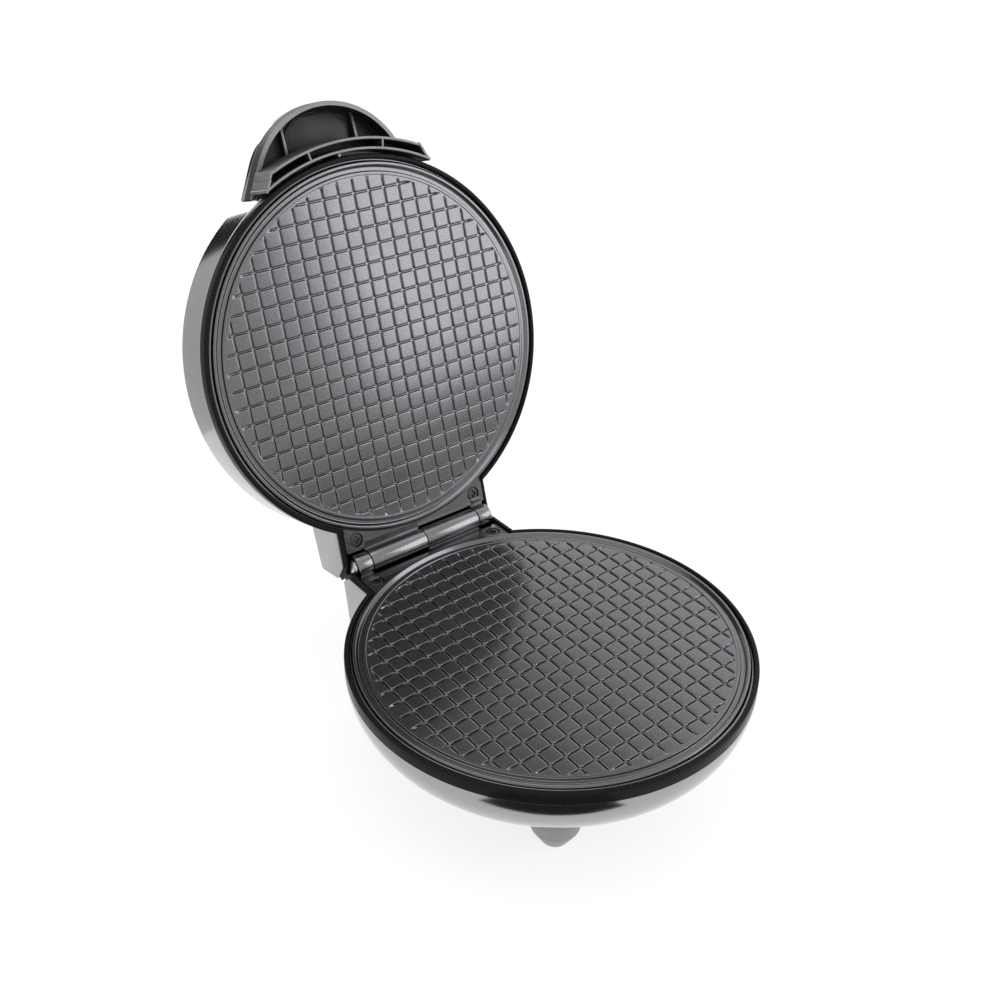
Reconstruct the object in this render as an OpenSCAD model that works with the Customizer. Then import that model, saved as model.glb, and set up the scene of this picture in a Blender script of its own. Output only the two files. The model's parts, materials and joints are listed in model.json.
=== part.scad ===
// Waffle cone maker: a round two-plate iron with a hinged lid, standing on four feet.
// Heights in the modules are measured from the baking face of the lower plate (z = 0 there)
// and depths from the centre of that plate. The lid is drawn closed and then opened.

/* [Body] */
// Outer diameter of the round body
body_d = 205; // [200:1:210]
// Height of the lower baking face above the table
plate_h = 68; // [66:1:72]
// Depth of the bowl below the rim ring
bowl_depth = 44; // [42:1:46]
// Radius of the flat bottom of the bowl
bowl_flat_r = 40; // [36:1:44]
// Wall thickness of the housings
wall = 2.2; // [2:0.1:2.6]
// Height of the side wall of the lid above the lower baking face
lid_wall_h = 34; // [32:1:35]
// Height of the crown of the lid above the lower baking face
lid_crown_h = 42; // [41:1:43]

/* [Rim rings] */
// Height of each black rim ring below or above the plate edge
ring_h = 5.4; // [5:0.1:6]
// Width of each rim ring
ring_w = 2.4; // [2.2:0.1:2.6]

/* [Baking plates] */
// Pitch of the square grid pressed into the plates
grid_pitch = 9.23; // [9:0.01:9.5]
// Width of a groove between two pads
groove_w = 1.3; // [1.1:0.1:1.6]
// Depth of a groove
groove_d = 1.2; // [1:0.1:1.4]
// Radius of the patterned area
grid_r = 90; // [88:1:91]
// Distance between the two baking faces when the lid is shut
batter_gap = 3; // [2.8:0.1:3.2]
// Thickness of a plate
plate_t = 5; // [4.5:0.1:5.5]

/* [Hinge] */
// Distance of the hinge axis behind the centre of the plates
hinge_y = 110.6; // [110.4:0.1:111]
// Height of the hinge axis above the lower baking face
hinge_z = 2.4; // [2.2:0.1:2.6]
// Angle between the shut lid and the open lid
open_deg = 106.9; // [0:0.1:106.9]
// Radius of the knuckles
knuckle_r = 6.6; // [6.4:0.1:6.8]
// Radius of the hinge pin
pin_r = 2.5; // [2.4:0.1:2.6]
// Radial running clearance between pin and knuckles
pin_gap = 0.05; // [0.03:0.01:0.08]
// Outer width of the hinge housings
hinge_w = 100; // [98:1:100]

/* [Handle] */
// Radius of the half-round handle
handle_r = 47.5; // [46:0.5:48]
// Distance of the front of the handle from the centre of the plates
handle_front = 131.5; // [130:0.5:133]
// Height of the lower edge of the handle
handle_low = 19; // [18:0.5:20]
// Radius of the outer wall of the curved bracket under the handle
bracket_r = 111; // [110:0.5:112]

/* [Feet] */
// Distance of the front feet from the middle plane
front_foot_x = 37.5; // [36:0.1:39]
// Distance of the front feet in front of the plate centre
front_foot_y = 50.3; // [49:0.1:52]
// Distance of the rear feet from the middle plane
rear_foot_x = 28; // [24:1:28]
// Distance of the rear feet behind the plate centre
rear_foot_y = 97; // [94:1:98]

/* [Lead] */
// Radius of the hole in the cord gland
gland_hole_r = 3.6; // [3.2:0.1:3.8]

/* [Hidden] */
$fn = 96;
part_gap = 0.1;
lip_play = 0.35;
body_r = body_d / 2;
ring_out_r = body_r - 0.1;
ring_in_r = ring_out_r - ring_w;
plate_r = ring_in_r - 0.2;
step_r = grid_r + 2.3;
ridge_r = 97.7;
ledge_r = 96.4;
ledge_z = 3.6;
ring_top = 0.9;
step_rise = 0.6;
channel_d = 0.4;
edge_t = 3.4;
flange_drop = 0.6;
ridge_w = 2.2;
pad_rise = 0.4;
ridge_rise = 1.3;
flange_half = 46.3;
notch_half = 46.6;
flange_end = hinge_y - knuckle_r - 0.8;
flange_t = 4;
knuckle_mid = 36;
knuckle_end = 45;
knuckle_play = 0.25;
pin_half = knuckle_end + 1.2;
web_root = 2.2;
screw_x = 39.5;
screw_y = 96.8;
block_half = hinge_w / 2;
skin_t = 1.4;
liner_t = 1.6;
liner_low = -1.2;
liner_proud = 2;
lip_base_z = -6.5;
lip_lid_z = 14.5;
element_r = 62;
element_tube_r = 3.3;
element_gap_deg = 50;
element_z = -plate_t - element_tube_r - 0.05;
boss_low = 38.6;
boss_high = flange_t + 0.7;
boss_r = 4.2;
boss_bore_r = 1.7;
wire_r = 1.1;
pillar_place_r = 40;
wire_sides = 8;
shield_r = 86;
shield_t = 0.8;
shield_drop = 16;
cover_r = 36;
cover_z = -ring_h - bowl_depth;
foot_top_r = 13.5;
foot_low_r = 7;
foot_h = 34;
peg_low = -50;
peg_r = 3.1;
pad_proud = 0.6;
pad_r = 4;
foot_spots = [
    [-front_foot_x, -front_foot_y], [front_foot_x, -front_foot_y],
    [-rear_foot_x, rear_foot_y], [rear_foot_x, rear_foot_y]];
lens_x = 14;
lens_y = -70;
lens_r = 4;
lens_z = 38.2;
gland_r = 7;
gland_z = -27;
curve_steps = 14;
handle_wall = 2.4;
handle_edge = 2.2;
flare_deg = 27;
flare_len = 18;
bracket_t = 1.4;
bracket_out_deg = 24.5;
bracket_in_deg = 28.5;
bracket_web_deg = 11.8;
lid_front_reach = handle_front + hinge_y;
lid_corner_z = lid_wall_h - 1 - hinge_z;
handle_screw_r = 97.7;
rear_reach = hinge_y - (lid_front_reach - handle_edge) * cos(open_deg) + lid_corner_z * sin(open_deg);
origin_y = (rear_reach - ring_out_r) / 2;

// Quarter of an ellipse as points, from the wide end to the low end.
function quarter(cx, cz, a, b) =
    [for (i = [0 : curve_steps]) [cx + a * cos(90 * i / curve_steps), cz - b * sin(90 * i / curve_steps)]];

// Puts the base on the table, with the origin below the middle of the open appliance.
module place_base() translate([0, -origin_y, plate_h]) children();

// Turns the closed lid about the hinge axis to its open position.
module place_lid()
    place_base()
        translate([0, hinge_y, hinge_z]) rotate([-open_deg, 0, 0]) translate([0, -hinge_y, -hinge_z])
            children();

// Mirrors a base shape into the lid, about the middle of the gap between the plates.
module flip() translate([0, 0, batter_gap]) mirror([0, 0, 1]) children();

// Extrudes a side outline (depth, height) across the width of the appliance.
module across(width) rotate([90, 0, 90]) linear_extrude(height = width, center = true) children();

module both_sides(x) for (side = [-1, 1]) translate([side * x, 0, 0]) children();

module tube(r_out, r_in, h) {
    difference() {
        cylinder(r = r_out, h = h);
        translate([0, 0, -1]) cylinder(r = r_in, h = h + 2);
    }
}

function unit(v) = v / norm(v);

// Direction of a route at point i, averaged over the two runs that meet there.
function heading(points, i) =
    unit(points[min(i + 1, len(points) - 1)] - points[max(i - 1, 0)]);

// Ring of corners round one point of a route.
function wire_ring(point, along, r) =
    let (side = unit(cross(along, [0.2, 0.1, 1])), over = cross(side, along))
    [for (k = [0 : wire_sides - 1])
        let (turn = k * 360 / wire_sides)
        point + r * (cos(turn) * side + sin(turn) * over)];

// Insulated wire swept along a list of points.
module wire(points, r) {
    corners = [for (i = [0 : len(points) - 1]) each wire_ring(points[i], heading(points, i), r)];
    last = (len(points) - 1) * wire_sides;
    skin = [for (i = [0 : len(points) - 2]) for (k = [0 : wire_sides - 1])
        let (a = i * wire_sides + k, b = i * wire_sides + (k + 1) % wire_sides)
        [a, b, b + wire_sides, a + wire_sides]];
    near_end = [for (k = [wire_sides - 1 : -1 : 0]) k];
    far_end = [for (k = [0 : wire_sides - 1]) last + k];
    polyhedron(corners, concat(skin, [near_end, far_end]));
}

// Countersunk machine screw with a cross recess, its head upwards at z = 0.
module screw(head_r, head_t, shank_r, length) {
    difference() {
        translate([0, 0, -head_t]) cylinder(r = head_r, h = head_t, $fn = 32);
        for (turn = [0, 90])
            rotate([0, 0, turn])
                translate([-head_r * 0.55, -0.45, -head_t * 0.6])
                    cube([head_r * 1.1, 0.9, head_t]);
    }
    translate([0, 0, -length]) cylinder(r = shank_r, h = length - head_t + 0.1, $fn = 24);
}

// ---- Housings ----

module bowl_solid(inset) {
    rotate_extrude()
        polygon(concat(
            [[0, -ring_h - part_gap], [ring_out_r - inset, -ring_h - part_gap]],
            quarter(bowl_flat_r, -ring_h - 0.4, ring_out_r - inset - bowl_flat_r, bowl_depth - 0.4 - inset),
            [[0, -ring_h - bowl_depth + inset]]));
}

// Side outline of the hinge housing of the base; inset shrinks it to its inside.
module base_block_outline(inset, lift) {
    polygon([
        [56, -43 + inset], [97 - inset * 0.5, -41 + inset], [107 - inset, -36 + inset * 0.6],
        [109.6 - inset, -30], [113.8 - inset, lip_base_z + lift],
        [108.4 - inset, liner_low + lift], [56, liner_low + lift]]);
}

module base_shell() color("silver") place_base() {
    difference() {
        union() {
            bowl_solid(0);
            difference() {
                across(hinge_w) base_block_outline(0, 0);
                translate([0, 0, -ring_h - part_gap]) cylinder(r = body_r + 0.1, h = 20);
            }
        }
        bowl_solid(wall);
        translate([0, 0, -ring_h - 1]) cylinder(r = ring_out_r - wall, h = 10);
        across(hinge_w - 2 * skin_t) base_block_outline(wall, 12);
        across(hinge_w - 2 * skin_t) translate([100, lip_base_z]) square([30, 12]);
        translate([0, 0, cover_z - 1]) cylinder(r = cover_r, h = 10);
        cover_screw_places() {
            translate([0, 0, cover_z - 1]) cylinder(r = 1.5, h = 10, $fn = 32);
            translate([0, 0, cover_z - 1]) cylinder(r = 2.8, h = 2.7, $fn = 32);
        }
        for (spot = foot_spots)
            translate([spot[0], spot[1], -60]) cylinder(r = peg_r + 0.2, h = 30, $fn = 32);
        translate([0, hinge_y - 20, gland_z])
            rotate([-90, 0, 0]) cylinder(r = gland_r + 0.1, h = 40, $fn = 48);
    }
    both_sides(screw_x)
        translate([0, screw_y, -boss_low]) tube(boss_r, boss_bore_r, boss_low - boss_high);
}

// Places of the four screws of the bottom cover.
module cover_screw_places()
    for (a = [45 : 90 : 315]) rotate([0, 0, a]) translate([cover_r + 3, 0, 0]) children();

// Black ring between plate and housing, with the lining of the hinge housing.
module rim_section() {
    lip_out = ring_out_r - wall - lip_play;
    lip_in = ring_out_r - wall - 1.6;
    polygon([
        [ring_in_r, -ledge_z], [ring_in_r, 0.2], [ring_in_r + 0.7, ring_top], [ring_out_r - 0.9, ring_top],
        [ring_out_r, -0.2], [ring_out_r, -ring_h], [lip_out, -ring_h], [lip_out, -9], [lip_in, -9],
        [lip_in, -ring_h], [ledge_r, -ring_h], [ledge_r, -ledge_z]]);
}

module base_rim() color("black") place_base() {
    difference() {
        rotate_extrude() rim_section();
        translate([-notch_half, 60, -ring_h - 0.05]) cube([2 * notch_half, 60, 20]);
    }
    difference() {
        across(2 * (block_half - skin_t - part_gap))
            polygon([
                [88, -12], [109.2, -12], [109.8, lip_base_z + part_gap], [113.9, lip_base_z + part_gap],
                [115.3, -5], [109.9, 0.3], [107, liner_low + liner_proud], [88, liner_low + liner_proud]]);
        across(2 * (block_half - skin_t - liner_t))
            polygon([[80, -20], [107.9, -20], [108.5, -5], [120, -4.9], [120, 10], [80, 10]]);
        translate([0, 0, -20]) cylinder(r = body_r + 0.2, h = 40);
    }
}

module bottom_cover() color("dimgray") place_base() {
    difference() {
        union() {
            translate([0, 0, cover_z + 0.2]) cylinder(r = cover_r - 0.2, h = wall);
            translate([0, 0, cover_z + wall + lip_play]) cylinder(r = cover_r + 6.5, h = 1.6);
            translate([0, 0, cover_z + 1]) cylinder(r = cover_r - 1, h = wall + 0.5);
            cover_screw_places()
                translate([0, 0, cover_z + wall + lip_play]) cylinder(r = 2.7, h = 7, $fn = 32);
        }
        cover_screw_places() translate([0, 0, cover_z - 1]) cylinder(r = 1.35, h = 12, $fn = 32);
        for (row = [-3 : 3]) translate([-18, row * 7 - 1.5, cover_z - 1]) cube([36, 3, 6]);
    }
}

module bottom_cover_screws() color("lightgray") place_base()
    cover_screw_places() translate([0, 0, cover_z]) rotate([180, 0, 0]) screw(2.6, 1.6, 1.3, 9);

// Tapered foot with a peg into the housing; its rounded lower end carries a small rubber pad.
module foot(x, y) {
    low_z = -plate_h + pad_proud;
    difference() {
        translate([x, y, low_z])
            rotate_extrude($fn = 64)
                polygon(concat(
                    [[0, foot_h], [0, 0]],
                    [for (a = [0 : 15 : 60]) [foot_low_r - 3 + 3 * sin(a), 3 - 3 * cos(a)]],
                    [[foot_top_r - 1, 10.5], [foot_top_r, 17], [foot_top_r, foot_h]]));
        if (y < 0) bowl_solid(-0.05);
        if (y > 0) across(hinge_w + 2) base_block_outline(-0.05, 0);
        if (y > 0) bowl_solid(-0.05);
        translate([x, y, low_z - 1]) cylinder(r = pad_r + part_gap, h = 2.5, $fn = 48);
        translate([x, y, low_z - 1]) cylinder(r = 1.8, h = 9, $fn = 32);
    }
    translate([x, y, peg_low]) cylinder(r = peg_r, h = 14, $fn = 32);
}

module front_foot_left() color("gray") place_base() foot(-front_foot_x, -front_foot_y);
module front_foot_right() color("gray") place_base() foot(front_foot_x, -front_foot_y);
module rear_foot_left() color("gray") place_base() foot(-rear_foot_x, rear_foot_y);
module rear_foot_right() color("gray") place_base() foot(rear_foot_x, rear_foot_y);

module foot_pads() color("black") place_base()
    for (spot = foot_spots)
        translate([spot[0], spot[1], -plate_h]) {
            cylinder(r = pad_r, h = pad_proud + 1.45, $fn = 48);
            translate([0, 0, 1]) cylinder(r = 1.7, h = 6, $fn = 24);
        }

// ---- Baking plates ----

module plate_profile() {
    groove_z = pad_rise - groove_d;
    polygon([
        [0, -plate_t], [0, groove_z], [step_r - 1.4, groove_z], [step_r - 0.9, step_rise],
        [step_r + 0.4, step_rise], [step_r + 0.9, -channel_d], [ridge_r - ridge_w, -channel_d],
        [ridge_r - 0.8, ridge_rise], [ridge_r + 0.5, ridge_rise], [plate_r - 0.3, -channel_d],
        [plate_r, -0.9], [plate_r, -edge_t], [94, -edge_t], [93, -plate_t]]);
}

module grid_pads() {
    lines = floor(grid_r / grid_pitch);
    difference() {
        circle(r = step_r - 1);
        intersection() {
            circle(r = grid_r);
            for (i = [-lines : lines]) {
                translate([i * grid_pitch - groove_w / 2, -grid_r]) square([groove_w, 2 * grid_r]);
                translate([-grid_r, i * grid_pitch - groove_w / 2]) square([2 * grid_r, groove_w]);
            }
        }
    }
}

// Barrel sections on one side of a hinge, as [start, end] along the width.
module knuckles(spans, web_low, web_high) {
    for (span = spans) {
        width = span[1] - span[0] - 2 * knuckle_play;
        translate([span[0] + knuckle_play, hinge_y, hinge_z])
            rotate([0, 90, 0]) cylinder(r = knuckle_r, h = width);
        translate([span[0] + knuckle_play, flange_end - web_root, web_low])
            cube([width, hinge_y - flange_end + web_root, web_high - web_low]);
    }
}

module plate_casting(spans, web_low, web_high, low_z, flange_low, flange_high) {
    difference() {
        union() {
            children();
            difference() {
                translate([-flange_half, 70, flange_low])
                    cube([2 * flange_half, flange_end - 70, flange_high - flange_low]);
                translate([0, 0, flange_low - 1]) cylinder(r = step_r, h = 20);
            }
            knuckles(spans, web_low, web_high);
        }
        translate([-60, hinge_y, hinge_z])
            rotate([0, 90, 0]) cylinder(r = pin_r + pin_gap, h = 120, $fn = 48);
        both_sides(screw_x) translate([0, screw_y, low_z]) cylinder(r = 2, h = 30, $fn = 32);
    }
}

// Places of the three pillars that carry a heat shield.
module pillar_places()
    for (a = [30 : 120 : 270]) rotate([0, 0, a]) translate([pillar_place_r, 0, 0]) children();

module baking_disc() {
    difference() {
        union() {
            rotate_extrude() plate_profile();
            translate([0, 0, -groove_d]) linear_extrude(height = groove_d + pad_rise) grid_pads();
            pillar_places() translate([0, 0, -9]) cylinder(r = 3.5, h = 5, $fn = 32);
        }
        pillar_places() translate([0, 0, -10]) cylinder(r = 1.3, h = 7, $fn = 24);
    }
}

module lower_plate() color("dimgray") place_base() {
    plate_casting([[-knuckle_end, -knuckle_mid], [0, knuckle_mid]], -4, 0.4, -20,
        -flange_drop - flange_t, -flange_drop)
        baking_disc();
}

module upper_plate() color("dimgray") place_lid() {
    plate_casting([[-knuckle_mid, 0], [knuckle_mid, knuckle_end]], 3.8, 7.55, -10,
        batter_gap + flange_drop, batter_gap + flange_drop + flange_t)
        flip() baking_disc();
}

module lower_plate_screws() color("gray") place_base()
    both_sides(screw_x) translate([0, screw_y, 0.6]) screw(3.6, 1.1, 1.6, 16);

module upper_plate_screws() color("gray") place_lid()
    flip() both_sides(screw_x) translate([0, screw_y, 0.6]) screw(3.6, 1.1, 1.6, 16);

module hinge_pin() color("silver") place_base()
    translate([-pin_half, hinge_y, hinge_z])
        rotate([0, 90, 0]) cylinder(r = pin_r, h = 2 * pin_half, $fn = 48);

module pin_clips() color("silver") place_base()
    for (x = [-knuckle_end - 0.9, knuckle_end + 0.1])
        translate([x, hinge_y, hinge_z]) rotate([0, 90, 0])
            tube(4.4, pin_r + 0.02, 0.8);

// ---- Heating ----

module element() {
    half_gap = element_gap_deg / 2;
    rotate([0, 0, 90 + half_gap])
        rotate_extrude(angle = 360 - element_gap_deg)
            translate([element_r, 0]) circle(r = element_tube_r, $fn = 32);
    for (side = [-1, 1]) rotate([0, 0, side * half_gap]) translate([0, element_r, 0]) {
        translate([0, 0, -9]) cylinder(r = element_tube_r, h = 9, $fn = 32);
        translate([0, 0, -15]) cylinder(r = 1.2, h = 8, $fn = 20);
        sphere(r = element_tube_r, $fn = 32);
    }
}

module element_clamp() {
    difference() {
        translate([element_r - 8, -5, element_z - element_tube_r - 1]) cube([16, 10, element_tube_r * 2]);
        translate([element_r, 0, element_z])
            rotate([90, 0, 0]) cylinder(r = element_tube_r + 0.35, h = 30, center = true, $fn = 40);
    }
}

module clamps() for (a = [30 : 120 : 270]) rotate([0, 0, a]) element_clamp();

module heat_shield() {
    difference() {
        rotate_extrude()
            polygon([[0, -shield_drop - shield_t], [shield_r - 6, -shield_drop - shield_t], [shield_r, -9],
                [shield_r + 5, -9], [shield_r + 5, -9 + shield_t], [shield_r - shield_t, -9 + shield_t],
                [shield_r - 6 - shield_t, -shield_drop], [0, -shield_drop]]);
        translate([0, 0, -30]) cylinder(r = 10, h = 30, $fn = 48);
        for (side = [-1, 1]) rotate([0, 0, side * element_gap_deg / 2])
            translate([0, element_r, -30]) cylinder(r = 5, h = 30, $fn = 32);
        pillar_places() translate([0, 0, -30]) cylinder(r = 1.5, h = 30, $fn = 24);
    }
}

module shield_pillars() {
    pillar_places() {
        translate([0, 0, -shield_drop + 0.05]) tube(3, 1.4, shield_drop - 9.1);
        translate([0, 0, -shield_drop - shield_t - 1.7]) cylinder(r = 2.6, h = 1.6, $fn = 32);
        translate([0, 0, -shield_drop - shield_t - 0.2]) cylinder(r = 1.2, h = 11, $fn = 24);
    }
}

module lower_element() color("gray") place_base() translate([0, 0, element_z]) element();
module upper_element() color("gray") place_lid() flip() translate([0, 0, element_z]) element();
module lower_element_clamps() color("lightgray") place_base() clamps();
module upper_element_clamps() color("lightgray") place_lid() flip() clamps();
module lower_heat_shield() color("gainsboro") place_base() heat_shield();
module upper_heat_shield() color("gainsboro") place_lid() flip() heat_shield();
module lower_shield_pillars() color("silver") place_base() shield_pillars();
module upper_shield_pillars() color("silver") place_lid() flip() shield_pillars();

// Snap-disc thermostat pressed against the middle of the lower plate.
module thermostat() color("ivory") place_base() {
    translate([0, 0, -plate_t - 1.05]) cylinder(r = 9, h = 1, $fn = 48);
    translate([0, 0, -plate_t - 9]) cylinder(r = 8, h = 8, $fn = 48);
    both_sides(4.2) translate([-0.4, -3, -plate_t - 17]) cube([0.8, 6, 9]);
}

module fuse_body() {
    rotate([0, 90, 0]) cylinder(r = 2, h = 12, center = true, $fn = 32);
    rotate([0, 90, 0]) cylinder(r = 0.6, h = 24, center = true, $fn = 16);
}

module thermal_fuse() color("tan") place_base()
    translate([28, 30, -shield_drop - shield_t - 2.1]) fuse_body();

module upper_thermal_fuse() color("tan") place_lid()
    flip() translate([28, 30, -shield_drop - shield_t - 2.1]) fuse_body();

module terminal_block() color("white") place_base()
    translate([-14, 74, -34]) difference() {
        cube([28, 14, 10]);
        for (x = [4.7, 14, 23.3]) {
            translate([x, 7, 4]) cylinder(r = 2.2, h = 10, $fn = 24);
            translate([x, -1, 3]) rotate([-90, 0, 0]) cylinder(r = 1.6, h = 20, $fn = 24);
        }
    }

// Bush that lines the lead's hole in the back of the base.
module cord_gland() color("black") place_base()
    translate([0, 0, gland_z]) difference() {
        union() {
            translate([0, 104, 0]) rotate([-90, 0, 0]) cylinder(r = gland_r, h = 10, $fn = 64);
            translate([0, 112.2, 0]) rotate([-90, 0, 0]) cylinder(r = 8.6, h = 1.8, $fn = 64);
        }
        translate([0, 100, 0]) rotate([-90, 0, 0]) cylinder(r = gland_hole_r, h = 20, $fn = 48);
    }

module base_wiring() color("white") place_base() {
    side_x = element_r * sin(element_gap_deg / 2);
    side_y = element_r * cos(element_gap_deg / 2);
    wire([[side_x, side_y, -25], [side_x - 6, side_y + 6, -29], [9.3, 72, -29], [9.3, 73.6, -30]], wire_r);
    mirror([1, 0, 0])
        wire([[side_x, side_y, -25], [side_x - 6, side_y + 6, -29], [9.3, 72, -29], [9.3, 73.6, -30]], wire_r);
    wire([[0, 73.6, -30], [0, 60, -30], [0, 20, -27], [4.2, 6, -26], [4.2, 2, -23.4]], wire_r);
}

// ---- Lid ----

module lid_section(inset) {
    low = batter_gap + ring_h + part_gap;
    round_r = 5;
    crown_z = lid_wall_h + 0.6;
    polygon(concat(
        [[0, low], [ring_out_r - inset, low]],
        [for (a = [0 : 15 : 75]) [ring_out_r - 0.8 - round_r + (round_r - inset) * cos(a),
            lid_wall_h - round_r + (round_r - inset) * sin(a)]],
        [for (i = [1 : 8]) [(ring_out_r - 8) * (1 - i / 8),
            crown_z - inset + (lid_crown_h - crown_z) * (1 - pow(1 - i / 8, 2))]]));
}

// Side outline of the hinge housing of the lid.
module lid_block_outline(inset, drop) {
    top = lid_wall_h - 0.6 - inset;
    polygon([
        [60, 6 - drop], [109.6 - inset, 6 - drop], [117.8 - inset, lip_lid_z - drop],
        [115.8 - inset, lid_wall_h - 4 - inset], [112.5 - inset, top], [60, top]]);
}

module lid_shell() color("silver") place_lid() {
    difference() {
        union() {
            rotate_extrude() lid_section(0);
            difference() {
                across(hinge_w) lid_block_outline(0, 0);
                translate([0, 0, -10]) cylinder(r = body_r + 0.1, h = 10 + batter_gap + ring_h + part_gap);
            }
        }
        rotate_extrude() lid_section(wall);
        translate([0, 0, 5]) cylinder(r = ring_out_r - wall, h = 6);
        across(hinge_w - 2 * skin_t) lid_block_outline(wall, 12);
        across(hinge_w - 2 * skin_t) translate([105, lip_lid_z - 20]) square([30, 20]);
        both_sides(lens_x) translate([0, lens_y, 20]) cylinder(r = lens_r + part_gap, h = 30, $fn = 48);
        handle_screw_places() translate([0, 0, -4]) cylinder(r = 1.8, h = 14, $fn = 24);
    }
    both_sides(screw_x)
        translate([0, screw_y, batter_gap + boss_high])
            tube(boss_r, boss_bore_r, lid_wall_h - 2.4 - batter_gap - boss_high);
}

module lid_rim() color("black") place_lid() {
    difference() {
        flip() rotate_extrude() rim_section();
        translate([-notch_half, 60, -10]) cube([2 * notch_half, 60, batter_gap + ring_h + 10.05]);
    }
    difference() {
        across(2 * (block_half - skin_t - part_gap))
            polygon([
                [88, 20], [114, 20], [114.3, lip_lid_z - part_gap], [117.9, lip_lid_z - part_gap],
                [119.3, 13], [111.1, 4.5], [107, 6 - liner_proud], [88, 6 - liner_proud]]);
        across(2 * (block_half - skin_t - liner_t))
            polygon([[80, 30], [112.6, 30], [112.6, 12.9], [130, 12.9], [130, 0], [80, 0]]);
        translate([0, 0, -20]) cylinder(r = body_r + 0.2, h = 60);
    }
}

// The two screws that hold the handle point outwards through the side wall of the lid.
module handle_screw_places()
    for (a = [-17, 17]) rotate([0, 0, a]) translate([0, -ring_out_r, 24]) rotate([-90, 0, 0]) children();

// Outline of the half-round handle, seen from above; its ends flare straight out to the lid.
module handle_outline(inset) {
    r = handle_r - inset;
    middle_y = handle_r - handle_front;
    start = [r * cos(flare_deg), middle_y - r * sin(flare_deg)];
    end = start + flare_len * [sin(flare_deg), cos(flare_deg)];
    difference() {
        union() {
            translate([0, middle_y]) circle(r = r);
            polygon([
                [-start[0], start[1]], start, end, [end[0], end[1] + 5], [-end[0], end[1] + 5],
                [-end[0], end[1]]]);
        }
        circle(r = body_r + 0.1 + inset);
    }
}

// Slab in the outline of the handle between two heights.
module handle_slab(inset, low, high)
    translate([0, 0, low]) linear_extrude(height = high - low) handle_outline(inset);

module handle() color("black") place_lid() {
    difference() {
        union() {
            handle_slab(0, handle_low, lid_wall_h - 4);
            handle_slab(0.8, lid_wall_h - 4.1, lid_wall_h - 2);
            handle_slab(handle_edge, lid_wall_h - 2.1, lid_wall_h - 1);
        }
        handle_slab(handle_wall, handle_low - 1, lid_wall_h - 3.4);
        handle_screw_places() translate([0, 0, -6]) cylinder(r = 1.8, h = 14, $fn = 24);
    }
    intersection() {
        handle_slab(1, handle_low, lid_wall_h - 3);
        union() {
            both_sides(22.2) translate([-0.9, -140, handle_low + 3]) cube([1.8, 60, 60]);
            both_sides(handle_r - 6) translate([-6, -104, 0]) cube([12, 30, 60]);
        }
    }
}

// Curved double-walled bracket that carries the handle in front of the lid.
module bracket_arc(r_out, r_in, half_deg) {
    intersection() {
        difference() {
            circle(r = r_out);
            circle(r = r_in);
        }
        polygon([
            [0, 0], [-200 * sin(half_deg), -200 * cos(half_deg)], [0, -300],
            [200 * sin(half_deg), -200 * cos(half_deg)]]);
    }
}

module handle_bracket() color("black") place_lid() {
    low = batter_gap - 2;
    high = handle_low - 0.1;
    translate([0, 0, low]) linear_extrude(height = high - low) {
        bracket_arc(bracket_r, bracket_r - bracket_t, bracket_out_deg);
        bracket_arc(body_r + 2 + bracket_t, body_r + 2, bracket_in_deg);
        for (a = [-bracket_out_deg, -bracket_web_deg, bracket_web_deg, bracket_out_deg])
            rotate([0, 0, a]) translate([-bracket_t / 2, -bracket_r + 0.3]) square([bracket_t, 6.4]);
    }
    translate([0, 0, high - 1.6]) linear_extrude(height = 1.6)
        bracket_arc(bracket_r, body_r + 2, bracket_in_deg);
}

module handle_screws() color("gray") place_lid()
    handle_screw_places() translate([0, 0, ring_out_r - handle_screw_r]) screw(3, 1.6, 1.5, 12);

module lens() {
    cylinder(r = lens_r, h = 3, $fn = 48);
    translate([0, 0, -3]) cylinder(r = lens_r - 1, h = 3.1, $fn = 48);
}

module power_lens() color("red") place_lid() translate([-lens_x, lens_y, lens_z]) lens();
module ready_lens() color("green") place_lid() translate([lens_x, lens_y, lens_z]) lens();

module lamp_holder() color("white") place_lid() {
    difference() {
        translate([-lens_x - 6, lens_y - 5, 29.5]) cube([2 * lens_x + 12, 10, 4]);
        both_sides(lens_x) translate([0, lens_y, 28]) cylinder(r = 2.4, h = 10, $fn = 32);
    }
    both_sides(lens_x) translate([0, lens_y, 29.5]) cylinder(r = 2.2, h = 5, $fn = 32);
}

module lid_wiring() color("white") place_lid() {
    side_x = element_r * sin(element_gap_deg / 2);
    side_y = element_r * cos(element_gap_deg / 2);
    wire([[side_x, side_y, 28.2], [side_x, side_y + 10, 30], [10, 84, 30], [6, 104, 26]], wire_r);
    wire([[-side_x, side_y, 28.2], [-side_x, side_y + 10, 30], [-10, 84, 30], [-6, 104, 26]], wire_r);
    wire([[0, 104, 26], [0, 84, 30], [0, 10, 31], [0, lens_y + 6, 31.4]], wire_r);
}

base_shell();
base_rim();
bottom_cover();
bottom_cover_screws();
front_foot_left();
front_foot_right();
rear_foot_left();
rear_foot_right();
foot_pads();
lower_plate();
lower_plate_screws();
hinge_pin();
pin_clips();
lower_element();
lower_element_clamps();
lower_heat_shield();
lower_shield_pillars();
thermostat();
thermal_fuse();
terminal_block();
cord_gland();
base_wiring();
lid_shell();
lid_rim();
handle();
handle_bracket();
handle_screws();
upper_plate();
upper_plate_screws();
upper_element();
upper_element_clamps();
upper_heat_shield();
upper_shield_pillars();
upper_thermal_fuse();
power_lens();
ready_lens();
lamp_holder();
lid_wiring();
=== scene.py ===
"""Waffle cone maker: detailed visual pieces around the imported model.

Shapes are drawn in millimetres from the centre of the lower baking face, the lid closed,
with -Y to the front, and then put in place in the row frame in metres.
"""
import math

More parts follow.
